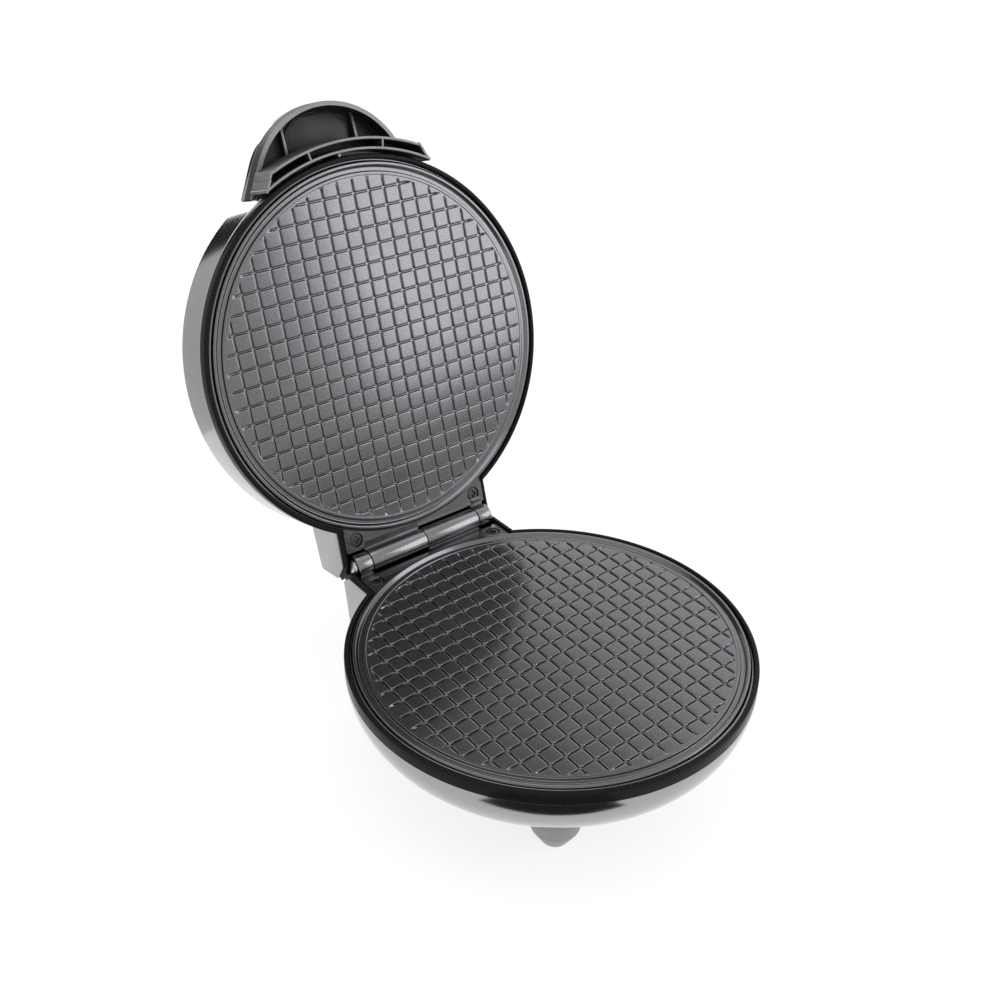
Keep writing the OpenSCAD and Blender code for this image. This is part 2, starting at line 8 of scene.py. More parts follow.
import bmesh
import bpy
import numpy as np
from mathutils import Matrix, Vector
from mathutils.geometry import delaunay_2d_cdt
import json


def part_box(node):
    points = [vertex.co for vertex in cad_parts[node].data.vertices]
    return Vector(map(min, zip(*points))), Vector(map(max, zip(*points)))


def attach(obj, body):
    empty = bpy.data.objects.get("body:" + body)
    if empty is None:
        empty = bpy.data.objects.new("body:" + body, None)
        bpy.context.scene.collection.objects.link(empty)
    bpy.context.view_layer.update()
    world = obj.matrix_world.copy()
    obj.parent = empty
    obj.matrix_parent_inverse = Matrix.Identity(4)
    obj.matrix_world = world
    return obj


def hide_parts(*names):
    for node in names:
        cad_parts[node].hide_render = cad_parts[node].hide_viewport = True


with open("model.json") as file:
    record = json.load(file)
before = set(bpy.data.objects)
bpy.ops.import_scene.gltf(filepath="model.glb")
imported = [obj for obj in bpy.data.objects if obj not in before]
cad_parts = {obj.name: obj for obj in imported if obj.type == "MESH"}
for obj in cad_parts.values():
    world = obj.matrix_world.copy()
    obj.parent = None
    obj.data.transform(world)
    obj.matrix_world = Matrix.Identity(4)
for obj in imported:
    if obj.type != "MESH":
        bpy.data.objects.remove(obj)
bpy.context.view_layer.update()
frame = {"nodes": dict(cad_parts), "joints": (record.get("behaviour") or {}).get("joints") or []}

# ---- Driving dimensions, taken from the frame ----

MM = 0.001
hinge = next(joint for joint in frame["joints"] if joint["name"] == "lid_hinge")
PIN = Vector(hinge["pos_m"])
OPEN = math.radians(hinge["range_deg"][1])
rim_low, rim_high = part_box("base_rim")
plate_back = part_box("lower_plate")[1].y
BODY_R = rim_high.x / MM
CENTRE_Y = rim_low.y / MM + BODY_R
PIN_Y = PIN.y / MM - CENTRE_Y
PIN_Z = 2.4
FLOOR_Z = PIN_Z - PIN.z / MM
KNUCKLE_R = (plate_back - PIN.y) / MM

# ---- Details, in millimetres ----

RING_IN = BODY_R - 2.4
RING_H = 5.4
PLATE_R = RING_IN - 0.2
GAP = 3.0
WALL = 2.2
BOWL_LOW = -49.4
BOWL_FLAT_R = 40.0
COVER_R = 36.0
PITCH = 9.23
GROOVE = 0.85
GROOVE_LOW = -0.6
PAD_TOP = 0.4
GRID_R = 89.8
DISC_R = 91.4
LID_WALL = 34.0
CROWN = 42.0
BLOCK_HALF = 50.0
FLANGE_HALF = 46.3
FLANGE_END = 103.2
PIN_BORE_R = 2.62
SCREW_X, SCREW_Y = 39.5, 96.8
BRACKET_OUT = 109.6
BRACKET_IN = 104.4
BRACKET_WALL = 1.4
PEG_X, PEG_Y = -5, -103.3
LENS_X, LENS_Y = 14, -70
HANDLE_R = 47.5
HANDLE_Y = -84.0
HANDLE_LOW = 19.0
HANDLE_TOP = 33.0
HANDLE_WALL = 2.4
SIDE_TOP = 27.0
FLARE = 27.0
FLARE_LONG = 18.0
RIB_X = 21.6
STEPS = 256
ARC_STEPS = 6
PLAY = 0.25

TO_ROW = Matrix.Translation((0, CENTRE_Y * MM, -FLOOR_Z * MM)) @ Matrix.Scale(MM, 4)
OPENED = Matrix.Translation(PIN) @ Matrix.Rotation(-OPEN, 4, "X") @ Matrix.Translation(-PIN)


# ---- Mesh tools ----

def fillet(points, steps=ARC_STEPS):
    """Rounds the corners of a closed outline. Each point is (x, y) or (x, y, radius)."""
    out = []
    count = len(points)
    for i, point in enumerate(points):
        here = Vector(point[:2])
        radius = point[2] if len(point) > 2 else 0
        if radius <= 0:
            out.append(tuple(here))
            continue
        to_a = (Vector(points[i - 1][:2]) - here).normalized()
        to_b = (Vector(points[(i + 1) % count][:2]) - here).normalized()
        half = to_a.angle(to_b) / 2
        reach = radius / math.tan(half)
        middle = here + (to_a + to_b).normalized() * radius / math.sin(half)
        start = here + to_a * reach - middle
        end = here + to_b * reach - middle
        turn = start.angle_signed(end)
        for k in range(steps + 1):
            out.append(tuple(middle + Matrix.Rotation(-turn * k / steps, 2) @ start))
    return out


def arc(cx, cy, radius, start, end, steps):
    """Points along a circle, in degrees."""
    turns = [math.radians(start + (end - start) * k / steps) for k in range(steps + 1)]
    return [(cx + radius * math.cos(t), cy + radius * math.sin(t)) for t in turns]


def new_object(name, vertices, faces):
    mesh = bpy.data.meshes.new(name)
    mesh.from_pydata([tuple(v) for v in vertices], [], faces)
    obj = bpy.data.objects.new(name, mesh)
    bpy.context.scene.collection.objects.link(obj)
    bm = bmesh.new()
    bm.from_mesh(mesh)
    bmesh.ops.remove_doubles(bm, verts=bm.verts, dist=1e-5)
    bmesh.ops.recalc_face_normals(bm, faces=bm.faces)
    bm.to_mesh(mesh)
    bm.free()
    return obj


def loft(name, rings, closed=False, caps=True):
    """Skin over rings of points, each ring a closed loop with the same number of points."""
    count = len(rings[0])
    vertices = [point for ring in rings for point in ring]
    spans = len(rings) if closed else len(rings) - 1
    faces = []
    for i in range(spans):
        a, b = i * count, (i + 1) % len(rings) * count
        faces += [(a + k, a + (k + 1) % count, b + (k + 1) % count, b + k) for k in range(count)]
    if caps and not closed:
        faces += [tuple(range(count)), tuple(range(len(vertices) - count, len(vertices)))]
    return new_object(name, vertices, faces)


def lathe(name, profile, start=0, end=360, steps=STEPS):
    """Turns a closed profile of (radius, height) about the vertical axis."""
    whole = end - start >= 360
    stops = steps if whole else steps + 1
    turns = [math.radians(start + (end - start) * k / steps) for k in range(stops)]
    rings = [[(r * math.cos(t), r * math.sin(t), z) for r, z in profile] for t in turns]
    return loft(name, rings, closed=whole)


def plan_prism(name, outline, low, high):
    """Extrudes a plan outline (x, y) from one height to another."""
    return loft(name, [[(x, y, z) for x, y in outline] for z in (low, high)])


def side_prism(name, outline, left, right):
    """Extrudes a side outline (y, z) across the width."""
    return loft(name, [[(x, y, z) for y, z in outline] for x in (left, right)])


def cylinder(name, radius, low, high, x=0.0, y=0.0, steps=64):
    turns = [2 * math.pi * k / steps for k in range(steps)]
    outline = [(x + radius * math.cos(t), y + radius * math.sin(t)) for t in turns]
    return plan_prism(name, outline, low, high)


def apply_modifiers(obj):
    graph = bpy.context.evaluated_depsgraph_get()
    mesh = bpy.data.meshes.new_from_object(obj.evaluated_get(graph))
    obj.modifiers.clear()
    obj.data = mesh
    return obj


def combine(obj, other, operation):
    """Joins or cuts obj with other, which is used up."""
    modifier = obj.modifiers.new("boolean", "BOOLEAN")
    modifier.operation = operation
    modifier.solver = "EXACT"
    modifier.object = other
    apply_modifiers(obj)
    bpy.data.objects.remove(other)
    return obj


def cut(obj, *others):
    for other in others:
        combine(obj, other, "DIFFERENCE")
    return obj


def join(obj, *others):
    for other in others:
        combine(obj, other, "UNION")
    return obj


def bevel(obj, width, segments=3, angle=40):
    modifier = obj.modifiers.new("bevel", "BEVEL")
    modifier.width = width
    modifier.segments = segments
    modifier.limit_method = "ANGLE"
    modifier.angle_limit = math.radians(angle)
    return apply_modifiers(obj)


def gather(obj, *others):
    """Puts other meshes into obj as separate closed shells."""
    bm = bmesh.new()
    for part in (obj, *others):
        bm.from_mesh(part.data)
    bm.to_mesh(obj.data)
    bm.free()
    for part in others:
        bpy.data.objects.remove(part)
    return obj


def flip(obj):
    """Mirrors a shape about the middle of the gap between the plates."""
    obj.data.transform(Matrix.Translation((0, 0, GAP)) @ Matrix.Scale(-1, 4, (0, 0, 1)))
    obj.data.flip_normals()
    return obj


def settle(obj, body, nodes, materials, pick=None, sharp=35):
    """Puts a finished shape in the row frame, shades it and hangs it on its body."""
    for material in materials:
        obj.data.materials.append(material)
    for face in obj.data.polygons:
        face.use_smooth = True
        face.material_index = pick(face.center, face.normal) if pick else 0
    obj.data.set_sharp_from_angle(angle=math.radians(sharp))
    obj.data.transform(TO_ROW)
    if body == "lid":
        obj.data.transform(OPENED)
    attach(obj, body)
    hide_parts(*nodes)
    return obj


# ---- Materials ----

def new_material(name, colour, roughness, metallic=0.0):
    material = bpy.data.materials.new(name)
    material.use_nodes = True
    shader = material.node_tree.nodes["Principled BSDF"]
    shader.inputs["Base Color"].default_value = (*colour, 1)
    shader.inputs["Roughness"].default_value = roughness
    shader.inputs["Metallic"].default_value = metallic
    shader.inputs["IOR"].default_value = 1.5
    return material, shader


def noise(material, scale, detail=3.0, stretch=(1, 1, 1)):
    """Procedural noise in object space; scale is in features per metre."""
    nodes, links = material.node_tree.nodes, material.node_tree.links
    place = nodes.new("ShaderNodeTexCoord")
    mapping = nodes.new("ShaderNodeMapping")
    mapping.inputs["Scale"].default_value = stretch
    texture = nodes.new("ShaderNodeTexNoise")
    texture.inputs["Scale"].default_value = scale
    texture.inputs["Detail"].default_value = detail
    links.new(place.outputs["Object"], mapping.inputs["Vector"])
    links.new(mapping.outputs["Vector"], texture.inputs["Vector"])
    return texture.outputs["Fac"]


def spread(material, source, low, high, start=0.3, end=0.7):
    """Maps a noise value to a range."""
    node = material.node_tree.nodes.new("ShaderNodeMapRange")
    node.inputs["From Min"].default_value = start
    node.inputs["From Max"].default_value = end
    node.inputs["To Min"].default_value = low
    node.inputs["To Max"].default_value = high
    material.node_tree.links.new(source, node.inputs["Value"])
    return node.outputs["Result"]


def vary_colour(material, shader, source, low, high, start=0.35, end=0.65):
    """Runs the base colour between two shades along a noise value."""
    ramp = material.node_tree.nodes.new("ShaderNodeValToRGB")
    ramp.color_ramp.elements[0].position = start
    ramp.color_ramp.elements[1].position = end
    ramp.color_ramp.elements[0].color = (*low, 1)
    ramp.color_ramp.elements[1].color = (*high, 1)
    material.node_tree.links.new(source, ramp.inputs["Fac"])
    material.node_tree.links.new(ramp.outputs["Color"], shader.inputs["Base Color"])


def rough_and_bump(material, shader, rough_source, low, high, bump_source, depth):
    """Roughness range and relief; depth is in metres."""
    links = material.node_tree.links
    links.new(spread(material, rough_source, low, high), shader.inputs["Roughness"])
    node = material.node_tree.nodes.new("ShaderNodeBump")
    node.inputs["Strength"].default_value = 1.0
    node.inputs["Distance"].default_value = depth
    links.new(bump_source, node.inputs["Height"])
    links.new(node.outputs["Normal"], shader.inputs["Normal"])


def finish_material(name, low, high, rough, fine, coarse, depth, metallic=0.0, stretch=(1, 1, 1)):
    """Colour variation, roughness variation and relief from two noises."""
    middle = [(a + b) / 2 for a, b in zip(low, high)]
    material, shader = new_material(name, middle, rough[0], metallic)
    grain = noise(material, fine, 4.0, stretch)
    cloud = noise(material, coarse, 3.0)
    vary_colour(material, shader, grain, low, high)
    rough_and_bump(material, shader, cloud, rough[0], rough[1], grain, depth)
    return material, shader


def make_materials():
    made = {}

    def add(name, *args, **kw):
        made[name], shader = finish_material(name, *args, **kw)
        return shader

    coat = add("housing_paint", (0.31, 0.312, 0.32), (0.36, 0.362, 0.37), (0.13, 0.18), 2600, 30, 2e-6,
               metallic=1.0)
    coat.inputs["Coat Weight"].default_value = 0.25
    coat.inputs["Coat Roughness"].default_value = 0.05
    # Lighter grey for rims and edges: partly overspray of the housing paint, partly painted highlight where
    # the edges catch the light.
    add("edge_paint_and_painted_highlight", (0.15, 0.152, 0.156), (0.21, 0.212, 0.216), (0.36, 0.46), 1800, 60, 6e-6,
        metallic=0.6)
    add("plate_coating", (0.12, 0.122, 0.128), (0.175, 0.178, 0.185), (0.15, 0.21), 2200, 45, 7e-6,
        metallic=1.0)
    add("flange_coating", (0.075, 0.077, 0.082), (0.13, 0.132, 0.138), (0.3, 0.42), 1700, 50, 1e-5,
        metallic=1.0)
    add("barrel_coating", (0.16, 0.162, 0.168), (0.22, 0.223, 0.23), (0.16, 0.22), 1900, 50, 4e-6,
        metallic=1.0)
    add("dark_steel", (0.05, 0.05, 0.052), (0.11, 0.11, 0.112), (0.3, 0.42), 1600, 120, 5e-6, metallic=1.0)
    gloss = add("black_gloss", (0.006, 0.006, 0.007), (0.011, 0.011, 0.012), (0.16, 0.26), 1200, 40, 3e-6)
    gloss.inputs["Specular IOR Level"].default_value = 0.06
    # Black for inner faces: bare black plastic, with painted shade on the deep faces of the handle and its
    # bracket.
    add("black_plastic_and_painted_shade", (0.008, 0.008, 0.009), (0.018, 0.018, 0.020), (0.45, 0.62), 1500, 60, 1.4e-5)
    add("grey_plastic", (0.20, 0.20, 0.205), (0.25, 0.25, 0.255), (0.38, 0.5), 1500, 50, 1.0e-5)
    add("rubber", (0.018, 0.018, 0.018), (0.032, 0.031, 0.03), (0.72, 0.85), 1800, 90, 2.0e-5)
    add("dull_steel", (0.24, 0.235, 0.225), (0.36, 0.35, 0.335), (0.28, 0.42), 1600, 120, 4e-6, metallic=1.0)
    add("bright_steel", (0.5, 0.5, 0.5), (0.62, 0.62, 0.61), (0.18, 0.28), 900, 90, 2e-6, metallic=1.0,
        stretch=(0.05, 1, 1))
    add("sheath", (0.2, 0.19, 0.18), (0.33, 0.31, 0.29), (0.4, 0.55), 700, 40, 8e-6, metallic=1.0)
    add("aluminium", (0.66, 0.66, 0.67), (0.78, 0.78, 0.79), (0.26, 0.38), 1100, 50, 4e-6, metallic=1.0,
        stretch=(1, 0.06, 1))
    add("ceramic", (0.74, 0.72, 0.66), (0.84, 0.82, 0.77), (0.2, 0.3), 500, 60, 4e-6)
    add("sleeve", (0.62, 0.61, 0.57), (0.82, 0.81, 0.77), (0.7, 0.85), 3000, 90, 4e-5)
    for name, low, high in (("red_lens", (0.42, 0.012, 0.01), (0.62, 0.03, 0.02)),
                            ("green_lens", (0.01, 0.3, 0.05), (0.03, 0.5, 0.1))):
        shader = add(name, low, high, (0.08, 0.14), 400, 60, 3e-6)
        shader.inputs["Transmission Weight"].default_value = 0.35
    return made


MATERIALS = make_materials()


# ---- Baking plates ----

def smooth(low, high, value):
    t = np.clip((value - low) / (high - low), 0, 1)
    return t * t * (3 - 2 * t)


def pad_height(x, y):
    """Height of the patterned face: rounded, slightly crowned pads between round-ended grooves."""
    u = np.abs((x / PITCH) % 1 - 0.5) * PITCH
    v = np.abs((y / PITCH) % 1 - 0.5) * PITCH
    corner = 1.0
    half = (PITCH - GROOVE) / 2
    over = np.hypot(np.maximum(u - half + corner, 0), np.maximum(v - half + corner, 0)) - corner
    into_groove = smooth(-0.32, 0.3, over)
    inside = smooth(GRID_R + 0.5, GRID_R - 0.5, np.hypot(x, y))
    crown = 0.05 * (1 - (u * u + v * v) / (2 * half * half))
    return PAD_TOP + inside * (crown - 0.05 - (PAD_TOP - GROOVE_LOW) * into_groove)


def patterned_face():
    """Points and triangles of the patterned disc, closed by a ring of STEPS points at DISC_R."""
    offsets = (0, 0.2, 0.4, 0.6, 0.85, 1.2, 1.8, 3.0, PITCH / 2)
    lines = range(-10, 11)
    stops = sorted({round(k * PITCH + side * o, 4) for k in lines for o in offsets for side in (-1, 1)})
    x, y = (grid.ravel() for grid in np.meshgrid(stops, stops))
    keep = np.hypot(x, y) < DISC_R - 0.5
    turns = np.arange(STEPS) * 2 * math.pi / STEPS
    x = np.concatenate([x[keep], DISC_R * np.cos(turns)])
    y = np.concatenate([y[keep], DISC_R * np.sin(turns)])
    flat, _, triangles, *_ = delaunay_2d_cdt([Vector(p) for p in zip(x, y)], [], [], 0, 1e-6)
    flat = np.array([tuple(p) for p in flat])
    return np.column_stack([flat, pad_height(flat[:, 0], flat[:, 1])]), triangles


def ring_profile():
    """Turned border of a plate, from the edge of the pattern out, under and back to the axis."""
    return fillet([
        (DISC_R, PAD_TOP), (91.7, 0.75, 0.3), (93.0, 0.75, 0.35), (93.5, -0.5, 0.4), (95.4, -0.5, 0.5),
        (96.7, 1.3, 0.55), (97.9, 1.3, 0.55), (PLATE_R - 1.0, -0.4, 0.4), (PLATE_R, -0.6, 0.3),
        (PLATE_R, -3.4), (94, -3.4), (93, -5), (2, -5)])


def baking_disc(name):
    vertices, triangles = PATTERN
    border = ring_profile()
    faces = [tuple(t) for t in triangles]
    points = [tuple(v) for v in vertices]
    first = len(points)
    for k in range(STEPS):
        turn = 2 * math.pi * k / STEPS
        points += [(r * math.cos(turn), r * math.sin(turn), z) for r, z in border]
    count = len(border)
    for k in range(STEPS):
        a, b = first + k * count, first + (k + 1) % STEPS * count
        faces += [(a + i, b + i, b + i + 1, a + i + 1) for i in range(count - 1)]
    faces.append(tuple(first + k * count + count - 1 for k in reversed(range(STEPS))))
    return new_object(name, points, faces)


def knuckle(name, left, right, web_low, web_high):
    """Hinge barrel with its web, which runs into the flange."""
    low = math.degrees(math.asin(max(-0.97, (web_low - PIN_Z) / KNUCKLE_R)))
    high = math.degrees(math.asin(min(0.97, (web_high - PIN_Z) / KNUCKLE_R)))
    round_part = arc(PIN_Y, PIN_Z, KNUCKLE_R, -180 - low, 180 - high, 44)
    outline = [(FLANGE_END - 4, web_low), *round_part, (FLANGE_END - 4, web_high)]
    obj = side_prism(name, outline, left + PLAY, right - PLAY)
    bore = side_prism("bore", arc(PIN_Y, PIN_Z, PIN_BORE_R, 0, 348.75, 31), left - 1, right + 1)
    return bevel(cut(obj, bore), 0.45, 3, 50)


def flange(name):
    """Flat rear ledge of a casting, with two countersunk screw holes."""
    outline = fillet([(-FLANGE_HALF, 70), (FLANGE_HALF, 70), (FLANGE_HALF, FLANGE_END, 1.5),
                      (-FLANGE_HALF, FLANGE_END, 1.5)])
    obj = bevel(plan_prism(name, outline, -4.6, -0.6), 0.5, 3, 50)
    cut(obj, cylinder("round", PLATE_R - 4, -8, 4, steps=128))
    for x in (-SCREW_X, SCREW_X):
        sink = lathe("sink", fillet([(0.01, -8), (2.0, -8), (2.0, -2.0), (3.7, -1.9), (4.1, -0.4), (4.1, 3),
                                     (0.01, 3)]), steps=48)
        sink.data.transform(Matrix.Translation((x, SCREW_Y, 0)))
        cut(obj, sink)
    return obj


def casting_surface(centre, normal):
    if math.hypot(centre.y - PIN_Y, centre.z - PIN_Z) < KNUCKLE_R + 0.1 and centre.y > FLANGE_END:
        return 2
    return 1 if centre.y > 60 and math.hypot(centre.x, centre.y) > 98.9 else 0


def baking_plates():
    coatings = [MATERIALS["plate_coating"], MATERIALS["flange_coating"], MATERIALS["barrel_coating"]]
    lower = gather(baking_disc("lower_baking_plate"), flange("flange"),
                   knuckle("barrel", -45, -36, -4.6, -0.62), knuckle("barrel", 0, 36, -4.6, -0.62))
    settle(lower, "base", ["lower_plate"], coatings, casting_surface)
    upper = gather(flip(baking_disc("upper_baking_plate")), flip(flange("flange")),
                   knuckle("barrel", -36, 0, 3.6, 7.8), knuckle("barrel", 36, 45, 3.6, 7.8))
    settle(upper, "lid", ["upper_plate"], coatings, casting_surface)


# ---- Screws ----

def cross_screw(name, x, y, z, head_r, shank_r, length):
    """Countersunk screw with a cross recess, its head at height z."""
    obj = lathe(name, fillet([(0.01, z - length), (shank_r, z - length, 0.3), (shank_r, z - 1.6),
                              (head_r, z - 0.25, 0.15), (head_r * 0.9, z, 0.2), (0.01, z + 0.12)]), steps=48)
    for wide, deep in ((1.05, 0.4), (0.4, 1.05)):
        slot_w, slot_d = head_r * wide * 0.6, head_r * deep * 0.6
        outline = [(-slot_w, -slot_d), (slot_w, -slot_d), (slot_w, slot_d), (-slot_w, slot_d)]
        cut(obj, plan_prism("slot", outline, z - 0.9, z + 1))
    obj.data.transform(Matrix.Translation((x, y, 0)))
    return obj


def plate_screws():
    steel = [MATERIALS["dark_steel"]]
    for side, x in (("left", -SCREW_X), ("right", SCREW_X)):
        low = cross_screw("lower_plate_screw_" + side, x, SCREW_Y, -1.0, 3.5, 1.6, 15)
        settle(low, "base", ["lower_plate_screws"], steel)
        high = flip(cross_screw("upper_plate_screw_" + side, x, SCREW_Y, -1.0, 3.5, 1.6, 15))
        settle(high, "lid", ["upper_plate_screws"], steel)


# ---- Housings ----

def bowl_profile(inset):
    """Closed half outline of the bowl, full inside."""
    wide = BODY_R - inset - BOWL_FLAT_R
    high = -RING_H - 0.4
    steep = 40
    points = [(BOWL_FLAT_R + wide * math.cos(t), high + (BOWL_LOW + inset - high) * math.sin(t))
              for t in (math.pi / 2 * k / steep for k in range(steep + 1))]
    lip = 0.5 if inset == 0 else 0
    top = -RING_H - 0.15 + min(inset, 1)
    return fillet([(0.01, top), (BODY_R - inset - lip, top), *points, (0.01, BOWL_LOW + inset)])


def base_block(inset, lift):
    """Side outline of the hinge housing under the base flange."""
    round_r = max(0.6, 3 - inset)
    return fillet([(56, -43 + inset), (97 - inset / 2, -41 + inset, 12),
                   (107 - inset, -36 + inset * 0.6, round_r), (109.6 - inset, -30, round_r),
                   (113.8 - inset, -6.5 + lift, 1.0 * (lift == 0)),
                   (108.4 - inset, -1.2 + lift, 0.6 * (lift == 0)), (56, -1.2 + lift)])


def base_housing():
    shell = lathe("base_housing", bowl_profile(0))
    block = bevel(side_prism("block", base_block(0, 0), -BLOCK_HALF, BLOCK_HALF), 1.6, 4, 60)
    cut(block, cylinder("round", BODY_R + 0.05, -RING_H - 0.15, 20, steps=STEPS))
    join(shell, block)
    inner_half = BLOCK_HALF - 1.4
    cut(shell, lathe("inside", bowl_profile(WALL)),
        side_prism("hollow", base_block(WALL, 12), -inner_half, inner_half),
        side_prism("lip_space", [(100, -6.5), (130, -6.5), (130, 6), (100, 6)], -inner_half, inner_half),
        cylinder("opening", COVER_R, -60, -40, steps=128))
    for turn in (45, 135, 225, 315):
        x, y = (COVER_R + 3) * math.cos(math.radians(turn)), (COVER_R + 3) * math.sin(math.radians(turn))
        cut(shell, cylinder("pocket", 2.8, -55, BOWL_LOW + 1.7, x, y, 32))
    inlet = cylinder("inlet", 7.1, 100, 125, steps=64)
    inlet.data.transform(Matrix.Translation((0, 0, -27)) @ Matrix.Rotation(math.radians(-90), 4, "X"))
    cut(shell, inlet)
    settle(shell, "base", ["base_shell"],
           [MATERIALS["housing_paint"], MATERIALS["black_plastic_and_painted_shade"]],
           lambda c, n: int(math.hypot(c.x, c.y) < COVER_R or n.z > 0.2))


def lid_profile(inset):
    """Closed half outline of the lid, full inside, with a shallow raised panel on its crown."""
    low = GAP + RING_H + 0.15 - min(inset, 1)
    side = BODY_R - inset
    steps = 24
    foot_of_crown = LID_WALL + 0.8
    crown = [((BODY_R - 8) * (1 - k / steps),
              foot_of_crown - inset + (CROWN - foot_of_crown) * (1 - (1 - k / steps) ** 2))
             for k in range(1, steps + 1)]
    crown = [(r, z if r > 76 or inset > 0 else z - 0.7) for r, z in crown]
    return fillet([(0.01, low), (side - 0.4 * (inset == 0), low), (side, low + 0.4),
                   (side, LID_WALL - 1, 4.5 - inset), (BODY_R - 9, LID_WALL + 0.7 - inset, 4), *crown[:-1],
                   (0.01, crown[-1][1])])


def lid_block(inset, drop):
    """Side outline of the hinge housing on the lid."""
    return fillet([(60, 6 - drop), (109.6 - inset, 6 - drop, 0.6 * (drop == 0)),
                   (117.8 - inset, 14.5 - drop, 1.2 * (drop == 0)), (115.6 - inset, LID_WALL - 3 - inset, 3),
                   (60, LID_WALL - 0.6 - inset)])


def lid_housing():
    shell = cut(lathe("lid_housing", lid_profile(0)), lathe("inside", lid_profile(WALL)))
    block = bevel(side_prism("block", lid_block(0, 0), -BLOCK_HALF, BLOCK_HALF), 1.6, 4, 60)
    cut(block, cylinder("round", BODY_R + 0.05, -10, GAP + RING_H + 0.15, steps=STEPS),
        lathe("inside", lid_profile(WALL - 0.02)))
    join(shell, block)
    inner_half = BLOCK_HALF - 1.4
    cut(shell, side_prism("hollow", lid_block(WALL, 12), -inner_half, inner_half),
        side_prism("lip_space", [(105, -5), (130, -5), (130, 14.5), (105, 14.5)], -inner_half, inner_half))
    for x in (-LENS_X, LENS_X):
        cut(shell, cylinder("lens_hole", 4.1, 20, 50, x, LENS_Y, 48))
    settle(shell, "lid", ["lid_shell"],
           [MATERIALS["housing_paint"], MATERIALS["black_plastic_and_painted_shade"]],
           lambda c, n: int(n.z < -0.2 and math.hypot(c.x, c.y) < BODY_R - 2))


# ---- Black rim rings ----

def rim_profile():
    inner = BODY_R - WALL - 0.1
    return fillet([(RING_IN, -3.6), (RING_IN, 0.9, 0.6), (BODY_R, 0.9, 1.1), (BODY_R, -RING_H, 0.4),
                   (inner, -RING_H), (inner, -9), (inner - 1.5, -9), (inner - 1.5, -RING_H),
                   (96.4, -RING_H), (96.4, -3.6)])


def rim(name, body, node, outside, inside, mirrored):
    """Plate surround: a turned band and the lining of the hinge housing."""
    ring = lathe(name, rim_profile())
    notch = plan_prism("notch", [(-46.6, 60), (46.6, 60), (46.6, 120), (-46.6, 120)], -4.9, 15)
    cut(ring, notch)
    if mirrored:
        flip(ring)
    half = BLOCK_HALF - 1.5
    lining = bevel(side_prism("lining", fillet(outside), -half, half), 0.4, 3, 50)
    cut(lining, side_prism("hollow", inside, -half + 1.7, half - 1.7),
        cylinder("round", BODY_R + 0.1, -40, 40, steps=STEPS))
    gather(ring, lining)
    settle(ring, body, [node], [MATERIALS["black_gloss"]])


def rims():
    rim("base_rim_ring", "base", "base_rim",
        [(88, -12), (109.2, -12), (109.8, -6.4), (113.9, -6.4), (115.3, -5, 0.7), (109.9, 0.3, 1.2),
         (107, 0.8, 1), (88, 0.8)],
        [(80, -20), (107.9, -20), (108.5, -5), (112, -4.9), (120, -4.9), (120, 10), (80, 10)], False)
    rim("lid_rim_ring", "lid", "lid_rim",
        [(88, 20), (114, 20), (114.3, 14.4), (117.9, 14.4), (119.3, 13, 0.7), (111.1, 4.5, 1.2),
         (107, 4, 1), (88, 4)],
        [(80, 30), (112.6, 30), (112.6, 12.9), (130, 12.9), (130, 0), (80, 0)], True)


# ---- Handle and its bracket ----

def handle_ring(inset, z):
    """Half-round outline whose ends flare straight out, closed behind the wall of the lid."""
    front = arc(0, HANDLE_Y, HANDLE_R - inset, -FLARE, FLARE - 180, 64)
    turn = math.radians(FLARE)
    x, y = front[0][0] + FLARE_LONG * math.sin(turn), front[0][1] + FLARE_LONG * math.cos(turn)
    return [(px, py, z) for px, py in [(x, y + 8), (x, y), *front, (-x, y), (-x, y + 8)]]


def handle_top(inset):
    """Rings that round the top edge of the handle over into its flat top."""
    reach = 3.0
    turns = [math.radians(90 * k / 6) for k in range(7)]
    return [handle_ring(inset + reach * (1 - math.cos(t)), HANDLE_TOP - reach + reach * math.sin(t))
            for t in turns]


